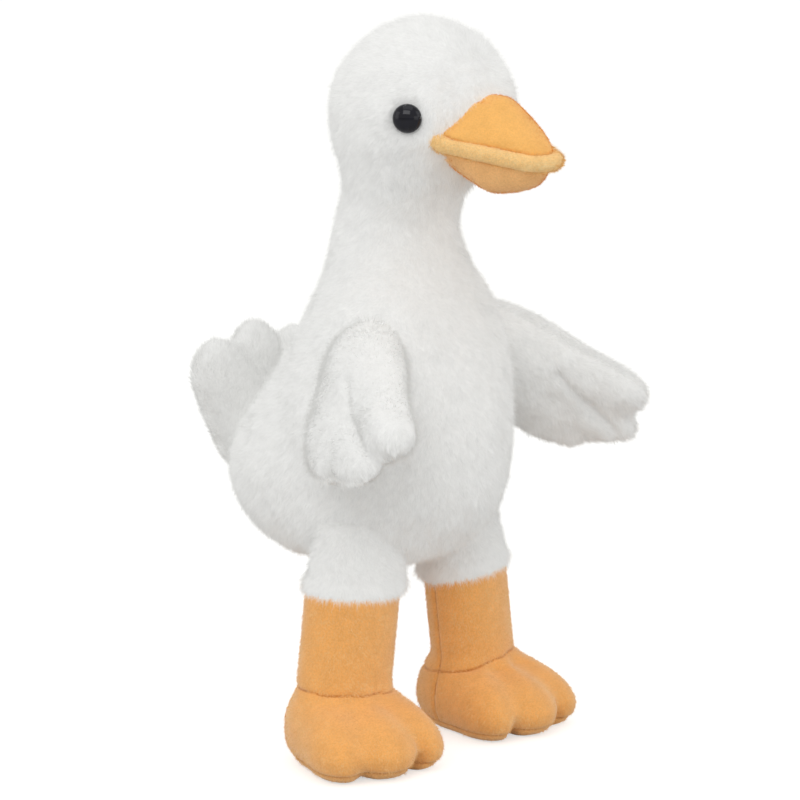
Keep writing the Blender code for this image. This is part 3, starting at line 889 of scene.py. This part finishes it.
eye_finish = moulded("eye_black", EYE_BLACK, roughness=0.06, specular=0.36, light=1.5)
washer_finish = moulded("washer_white", WASHER_WHITE, roughness=0.5, specular=0.5, light=1.05)
for word, (base, facing) in EYE_SEATS.items():
    bm = bmesh.new()
    turns = [math.pi / 2 * step / EYE_STEPS for step in range(EYE_STEPS + 1)]
    profile = [(EYE_RADIUS * math.sin(turn), EYE_DOME_SHOWN * math.cos(turn)) for turn in turns]
    profile += [(EYE_RADIUS, EYE_BASE_LOW), (0, EYE_BASE_LOW)]
    verts = [bm.verts.new((out, 0, up)) for out, up in profile]
    edges = [bm.edges.new(pair) for pair in zip(verts, verts[1:])]
    bmesh.ops.spin(
        bm, geom=verts + edges, cent=(0, 0, 0), axis=(0, 0, 1), angle=math.tau,
        steps=EYE_ROUND, use_merge=True,
    )
    bmesh.ops.remove_doubles(bm, verts=bm.verts, dist=1e-7)
    bmesh.ops.recalc_face_normals(bm, faces=bm.faces)
    turn = facing.to_track_quat("Z", "Y").to_matrix().to_4x4()
    bmesh.ops.transform(bm, matrix=Matrix.Translation(base) @ turn, verts=bm.verts)
    eye = as_piece("eye_dome_" + word, bm, eye_finish)
    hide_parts("eye_" + word)
    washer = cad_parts["eye_washer_" + word]
    washer.data.materials.clear()
    washer.data.materials.append(washer_finish)


# The bill is sewn from smooth orange velboa and stuffed, with an under jaw of a duller
# orange. Between the halves runs a rolled lip of paler orange plush.
BILL_ORANGE = (0.95, 0.50, 0.14)
JAW_ORANGE = (0.94, 0.52, 0.21)
LIP_PALE = (0.99, 0.62, 0.25)
BILL_WEAVE = 0.0010
BILL_ROUNDS = 3
JAW_TOP = 0.004
JAW_DRAW = 0.42
JAW_LIFT = 0.009
JAW_RISE = 0.0022
BILL_SPREAD = 0.32
SPREAD_FROM = 0.004
SPREAD_REACH = 0.014
RIDGE_FROM = 0.006
RIDGE_DRAW = 0.26
RIDGE_RISE = 0.0017
RIDGE_WIDTH = 0.008
LIP_END_OUT = 0.0018
LIP_END_BACK = 0.6
LIP_NAP = 0.0020
BILL_NAP = 0.0011
BILL_NAP_WIDTH = 0.00016
BILL_NAP_PER_MM2 = 6.0
BILL_NAP_STAND = 0.8
SEAM_TINT = (0.66, 0.48, 0.32)
SHEEN_TINT = (1.0, 0.85, 0.65, 1)
PLAIN = (1.0, 1.0, 1.0)


def velboa(name, colour, light, dark, sheen, nap):
    """Short dense nap: soft clouds where it lies differently, a fine grain, and darker seams."""
    material, nodes, shader = node_material(name, 0.85, 0.2, sheen)
    shader.inputs["Sheen Tint"].default_value = SHEEN_TINT
    clouds = speckle(nodes, 0.006, 2, 2.0)
    soft = ramp(nodes, clouds, ((0.3, shaded(colour, dark)), (0.7, shaded(colour, light))))
    grain = speckle(nodes, 0.0008, 3, 3.0)
    low = (1 - nap, 1 - nap * 1.2, 1 - nap * 1.4)
    fine = ramp(nodes, grain, ((0.3, low), (0.65, PLAIN)))
    seam = nodes.nodes.new("ShaderNodeAttribute")
    seam.attribute_name = "seam"
    thread = ramp(nodes, seam.outputs["Fac"], ((0.2, PLAIN), (0.9, SEAM_TINT)))
    colour_now = soft
    for share in (fine, thread):
        mix = nodes.nodes.new("ShaderNodeMix")
        mix.data_type = "RGBA"
        mix.blend_type = "MULTIPLY"
        mix.inputs["Factor"].default_value = 1.0
        nodes.links.new(colour_now, mix.inputs["A"])
        nodes.links.new(share, mix.inputs["B"])
        colour_now = mix.outputs["Result"]
    nodes.links.new(colour_now, shader.inputs["Base Color"])
    bump = nodes.nodes.new("ShaderNodeBump")
    bump.inputs["Strength"].default_value = 0.35
    bump.inputs["Distance"].default_value = 0.0003
    nodes.links.new(grain, bump.inputs["Height"])
    nodes.links.new(bump.outputs["Normal"], shader.inputs["Normal"])
    return material


def brushed_out(points):
    return np.tile(np.array([0.0, -1.0, -0.3]), (len(points), 1))


def towards_back(places, low, high):
    """How far back places lie in a part of the bill: 0 at its middle, 1 at its back."""
    return np.clip((places[:, 1] - (low.y + high.y) / 2) / (high.y - low.y) * 2, 0, 1)


def shape_jaw(piece, low, high):
    """Draws the jaw in and up towards its back, where the throat's skin laps round it."""
    places = corner_places(piece.data)
    back = towards_back(places, low, high)
    top = high.z - JAW_TOP
    down = np.clip((top - places[:, 2]) / (top - low.z), 0, 1) ** 0.7
    places[:, 0] *= 1 - JAW_DRAW * back * down
    places[:, 2] += JAW_LIFT * back * down + JAW_RISE * down
    place_corners(piece.data, places)


def shape_upper_bill(piece, low, high):
    """Spreads the upper bill at its base, so that it runs out to the ends of the lip, and draws
    its top in to a ridge."""
    places = corner_places(piece.data)
    back = towards_back(places, low, high)
    near_mouth = np.clip(1 - (places[:, 2] - low.z - SPREAD_FROM) / SPREAD_REACH, 0, 1)
    places[:, 0] *= 1 + BILL_SPREAD * back * near_mouth
    up = np.clip((places[:, 2] - low.z - RIDGE_FROM) / (high.z - low.z - RIDGE_FROM), 0, 1)
    up = up * up * (3 - 2 * up)
    places[:, 2] += RIDGE_RISE * up * np.exp(-((places[:, 0] / RIDGE_WIDTH) ** 2))
    places[:, 0] *= 1 - RIDGE_DRAW * up
    place_corners(piece.data, places)


def shape_lip(piece, low, high):
    """Draws the ends of the lip out along the cheeks."""
    places = corner_places(piece.data)
    back = towards_back(places, low, high)
    places[:, 0] += np.sign(places[:, 0]) * LIP_END_OUT * back ** 2
    places[:, 1] += LIP_END_OUT * LIP_END_BACK * back ** 3
    place_corners(piece.data, places)


velboa_bill = velboa("velboa_bill", BILL_ORANGE, light=1.03, dark=0.96, sheen=0.3, nap=0.08)
velboa_jaw = velboa("velboa_jaw", JAW_ORANGE, light=1.04, dark=0.94, sheen=0.3, nap=0.12)
lip_plush = velboa("lip_plush", LIP_PALE, light=1.04, dark=0.94, sheen=0.3, nap=0.14)
# The naps' fibres are painted darker at their roots, by their last number: painted shade.
lip_nap = pile_fibre("lip_nap", shaded(LIP_PALE, 0.86), (1.0, 0.74, 0.38), 0.80)
bill_nap = pile_fibre("bill_nap", shaded(BILL_ORANGE, 0.90), (1.0, 0.57, 0.20), 0.88)
jaw_nap = pile_fibre("jaw_nap", shaded(JAW_ORANGE, 0.9), (0.96, 0.58, 0.26), 0.86)
for node, finish, nap, nap_length, slot, grown, shape in (
    ("bill_upper", velboa_bill, bill_nap, BILL_NAP, "orange_plush", 0.0004, shape_upper_bill),
    ("bill_lower", velboa_jaw, jaw_nap, BILL_NAP, "orange_plush", 0.0, shape_jaw),
    ("bill_lip", lip_plush, lip_nap, LIP_NAP, "pale_orange_plush", 0.0003, shape_lip),
):
    part = sewn_skin(node + "_skin", tucked_copy(node), BILL_WEAVE, BILL_ROUNDS, finish, -grown)
    shape(part, *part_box(node))
    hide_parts(node)
    grow_pile(
        "nap_" + node, part, nap, brushed_out, 130, under=("body",), length=nap_length,
        width=BILL_NAP_WIDTH, density=BILL_NAP_PER_MM2, stand=BILL_NAP_STAND,
    )


# The shins, feet and soles are orange velboa. Each foot is sewn to its shin at the ankle
# and to its sole along the edge, and a seam runs up the inner side of each leg.
LEG_ORANGE = (0.93, 0.44, 0.125)
SOLE_ORANGE = (0.93, 0.50, 0.18)
LEG_WEAVE = 0.0010
LEG_ROUNDS = 8
LAP = 0.0010
RIM_FLAT = 0.0001
SOLE_SEAM = 0.0038
INNER_SEAM_BACK = 0.001
THREAD_SHARE = 0.6
ANKLE_OUT = 0.003
LEG_PLUMP = 0.0045
ANKLE_SEAMS = {"left": (0.0293, 0.19), "right": (0.0323, -0.07)}
ANKLE_LEAN_WAY = Vector((math.cos(VIEW_TURN), math.sin(VIEW_TURN), 0))
SEAM_WIDTH = 0.0009
SEAM_DEPTH = 0.0009
FOOT_TURNS = {"left": math.radians(-2), "right": math.radians(16)}
TOE_NOTCH = (0.0125, 0.0335)
TOE_CLEFTS = {
    "left": ((-1, 0.012, 0.0030), (1, 0.016, 0.0040)),
    "right": ((-1, 0.018, 0.0045), (1, 0.007, 0.0010)),
}
CLEFT_WIDTH = 0.0026
CLEFT_FROM = 0.018
DOME_LOW = 0.0055
DOME_BELOW_ANKLE = 0.0025
DOME_ROUNDS = 60
DOME_SWELL = 0.0014
ROUND_UNDER = 0.0120
ROUND_SHARE = 0.16
NAP_LENGTH = 0.0013
NAP_WIDTH = 0.00016
NAP_PER_MM2 = 3.5
NAP_STAND = 0.9
NAP_ABOVE_FLOOR = 0.0019


def lapped_leg(word):
    """The shin, foot and sole as one shape, each lapped a little over the next."""
    joined = bmesh.new()
    for part_word in ("shin", "foot", "sole"):
        bm = merged_copy(f"{part_word}_{word}")
        low = min(vert.co.z for vert in bm.verts)
        high = max(vert.co.z for vert in bm.verts)
        for vert in bm.verts:
            if part_word != "sole" and vert.co.z < low + RIM_FLAT:
                vert.co.z -= LAP
            if part_word == "shin" and vert.co.z > high - RIM_FLAT:
                vert.co.z += TUCK
        lapped = bpy.data.meshes.new("lapped")
        bm.to_mesh(lapped)
        bm.free()
        joined.from_mesh(lapped)
        bpy.data.meshes.remove(lapped)
    return joined


def cut_piece(piece, name, place, facing, below, finish):
    """A closed piece of a shape on one side of a plane, with a flat sewn end."""
    bm = bmesh.new()
    bm.from_mesh(piece.data)
    bmesh.ops.bisect_plane(
        bm, geom=bm.verts[:] + bm.edges[:] + bm.faces[:], plane_co=place, plane_no=facing,
        clear_outer=below, clear_inner=not below,
    )
    rim = [edge for edge in bm.edges if edge.is_boundary]
    for edge in rim:
        edge.smooth = False
    bmesh.ops.holes_fill(bm, edges=rim, sides=0)
    return as_piece(name, bm, finish)


def shape_foot(leg, ankle, side, word):
    """Fills a foot out to one soft dome, rounds it under at its sole, and presses the stitched
    clefts between its toes."""
    bm = bmesh.new()
    bm.from_mesh(leg.data)
    dome = [vert for vert in bm.verts if DOME_LOW < vert.co.z < ankle.z - DOME_BELOW_ANKLE]
    for _ in range(DOME_ROUNDS):
        bmesh.ops.smooth_vert(
            bm, verts=dome, factor=0.5, use_axis_x=True, use_axis_y=True, use_axis_z=True
        )
    bm.to_mesh(leg.data)
    bm.free()
    places, facing = corner_places(leg.data), corner_facing(leg.data)
    height = np.clip((places[:, 2] - DOME_LOW) / (ankle.z - DOME_BELOW_ANKLE - DOME_LOW), 0, 1)
    places += facing * (DOME_SWELL * np.sin(height * math.pi))[:, None]
    middle = np.array([ankle.x, ankle.y])
    under = np.clip(1 - places[:, 2] / ROUND_UNDER, 0, 1)[:, None] ** 2
    places[:, :2] -= (places[:, :2] - middle) * under * ROUND_SHARE
    place_corners(leg.data, places)
    facing = corner_facing(leg.data)
    turn = math.pi + side * FOOT_TURNS[word]
    ahead = np.array([-math.sin(turn), math.cos(turn)])
    out = -side * np.array([math.cos(turn), math.sin(turn)])
    flat = np.stack([(places[:, :2] - middle) @ out, (places[:, :2] - middle) @ ahead], 1)
    for toe_side, height, depth in TOE_CLEFTS[word]:
        way = np.array([toe_side * TOE_NOTCH[0], TOE_NOTCH[1]])
        way = way / np.linalg.norm(way)
        aside = np.abs(flat[:, 0] * way[1] - flat[:, 1] * way[0])
        pressed = np.exp(-((aside / CLEFT_WIDTH) ** 2)) * (flat @ way > CLEFT_FROM)
        pressed = pressed * np.clip(1 - places[:, 2] / height, 0, 1) ** 0.7
        places -= facing * (depth * pressed)[:, None]
    place_corners(leg.data, places)


velboa_leg = velboa("velboa_leg", LEG_ORANGE, light=1.04, dark=0.96, sheen=0.9, nap=0.10)
velboa_sole = velboa("velboa_sole", SOLE_ORANGE, light=1.04, dark=0.96, sheen=0.9, nap=0.10)
# The nap's fibres are painted darker at the root, as painted shade. Their pale light end is
# partly the nap's own paler colour and partly a painted highlight: it lightens the legs' edges,
# where most nap is seen, as sheen would.
orange_nap = pile_fibre("orange_nap", shaded(LEG_ORANGE, 0.90), (0.98, 0.61, 0.29), 0.86)
for side, word in ((1, "left"), (-1, "right")):
    leg = sewn_skin(
        "leg_" + word, lapped_leg(word), LEG_WEAVE, LEG_ROUNDS, velboa_leg, 0.0, LEG_PLUMP
    )
    low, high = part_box("shin_" + word)
    ankle_height, ankle_lean = ANKLE_SEAMS[word]
    ankle = Vector(((low.x + high.x) / 2 + side * ANKLE_OUT, (low.y + high.y) / 2, ankle_height))
    shape_foot(leg, ankle, side, word)
    places, facing = corner_places(leg.data), corner_facing(leg.data)
    lean = ANKLE_LEAN_WAY * ankle_lean
    ankle_facing = Vector((-lean.x, -lean.y, 1)).normalized()
    from_ankle = np.abs((places - np.array(ankle)) @ np.array(ankle_facing))
    from_sole = np.abs(places[:, 2] - SOLE_SEAM)
    inner = np.abs(places[:, 1] - ankle.y - INNER_SEAM_BACK)
    inner = np.where(side * (places[:, 0] - ankle.x) < 0, inner, 1.0)
    inner = np.where(places[:, 2] > SOLE_SEAM, inner, 1.0)
    nearest = np.minimum(np.minimum(from_ankle, from_sole), inner)
    pressed = np.exp(-((nearest / SEAM_WIDTH) ** 2))
    place_corners(leg.data, places - facing * (SEAM_DEPTH * pressed)[:, None])
    seam = leg.data.attributes.new("seam", "FLOAT", "POINT")
    thread = np.exp(-((nearest / (SEAM_WIDTH * THREAD_SHARE)) ** 2))
    seam.data.foreach_set("value", thread.astype(np.float32))
    shin = cut_piece(leg, f"shin_{word}_skin", ankle, ankle_facing, False, velboa_leg)
    lower = cut_piece(leg, f"foot_and_sole_{word}", ankle, ankle_facing, True, velboa_leg)
    level, up = Vector((0, 0, SOLE_SEAM)), Vector((0, 0, 1))
    foot = cut_piece(lower, f"foot_{word}_skin", level, up, False, velboa_leg)
    sole = cut_piece(lower, f"sole_{word}_skin", level, up, True, velboa_sole)
    for spare in (leg, lower):
        bpy.data.objects.remove(spare)
    for part, node in ((shin, "shin_"), (foot, "foot_"), (sole, "sole_")):
        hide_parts(node + word)
        grow_pile(
            f"nap_{node}{word}", part, orange_nap, hanging, 120 + side,
            keep=lambda roots: roots[:, 2] > NAP_ABOVE_FLOOR,
            length=NAP_LENGTH, width=NAP_WIDTH, density=NAP_PER_MM2, stand=NAP_STAND,
        )


# The goose stands on a plain pale floor in a bright room, under broad soft lamps.
FLOOR_WHITE = (0.62, 0.62, 0.615)
FLOOR_SIZE = 30.0
FLOOR_GLOW = 0.62
SHOWN_WHITE = (1.0, 1.0, 0.985)
ROOM_LIGHT = 0.66
LAMP_AIM = Vector((0, 0, 0.15))


def pale_floor():
    """A matt pale floor that shows white to the camera where no shadow falls on it."""
    material, nodes, shader = node_material("pale_floor", 0.9, 0.1)
    path = nodes.nodes.new("ShaderNodeLightPath")
    lit = nodes.nodes.new("ShaderNodeMath")
    lit.operation = "MULTIPLY"
    lit.inputs[1].default_value = FLOOR_GLOW
    nodes.links.new(path.outputs["Is Camera Ray"], lit.inputs[0])
    cloud = speckle(nodes, 0.5, 1, 1.0)
    colour = ramp(nodes, cloud, ((0.3, shaded(FLOOR_WHITE, 0.995)), (0.7, FLOOR_WHITE)))
    nodes.links.new(colour, shader.inputs["Base Color"])
    shader.inputs["Emission Color"].default_value = (*SHOWN_WHITE, 1)
    nodes.links.new(lit.outputs["Value"], shader.inputs["Emission Strength"])
    return material


bm = bmesh.new()
bmesh.ops.create_grid(bm, x_segments=1, y_segments=1, size=FLOOR_SIZE / 2)
floor_mesh = bpy.data.meshes.new("floor")
bm.to_mesh(floor_mesh)
bm.free()
floor_mesh.materials.append(pale_floor())
floor = bpy.data.objects.new("floor", floor_mesh)
scene.collection.objects.link(floor)


def bright_room():
    """An even room light, which the camera sees as white."""
    world = bpy.data.worlds.new("bright_room")
    world.use_nodes = True
    nodes = world.node_tree
    background = nodes.nodes["Background"]
    background.inputs["Color"].default_value = (*SHOWN_WHITE, 1)
    path = nodes.nodes.new("ShaderNodeLightPath")
    strength = nodes.nodes.new("ShaderNodeMapRange")
    strength.inputs["To Min"].default_value = ROOM_LIGHT
    strength.inputs["To Max"].default_value = 1.0
    nodes.links.new(path.outputs["Is Camera Ray"], strength.inputs["Value"])
    nodes.links.new(strength.outputs["Result"], background.inputs["Strength"])
    return world


scene.world = bright_room()


def add_lamp(name, turn, rise, away, wide, high, watts):
    """A soft box at a turn about the goose and a rise above level, aimed at it."""
    lamp = bpy.data.objects.new(name, bpy.data.lights.new(name, "AREA"))
    lamp.data.shape = "RECTANGLE"
    lamp.data.size = wide
    lamp.data.size_y = high
    lamp.data.energy = watts
    way = seen_from(math.radians(turn), math.radians(rise))
    lamp.location = LAMP_AIM + way * away
    lamp.rotation_euler = way.to_track_quat("Z", "Y").to_euler()
    scene.collection.objects.link(lamp)


add_lamp("key_lamp", turn=-66, rise=35, away=1.6, wide=1.0, high=0.65, watts=4.7)
add_lamp("top_lamp", turn=-60, rise=78, away=1.5, wide=1.4, high=1.4, watts=4.0)
add_lamp("left_lamp", turn=-125, rise=14, away=1.8, wide=1.0, high=1.2, watts=2.7)
add_lamp("fill_lamp", turn=30, rise=25, away=2.0, wide=1.4, high=1.2, watts=4.4)
add_lamp("low_lamp", turn=-5, rise=3, away=1.8, wide=1.2, high=0.7, watts=1.9)
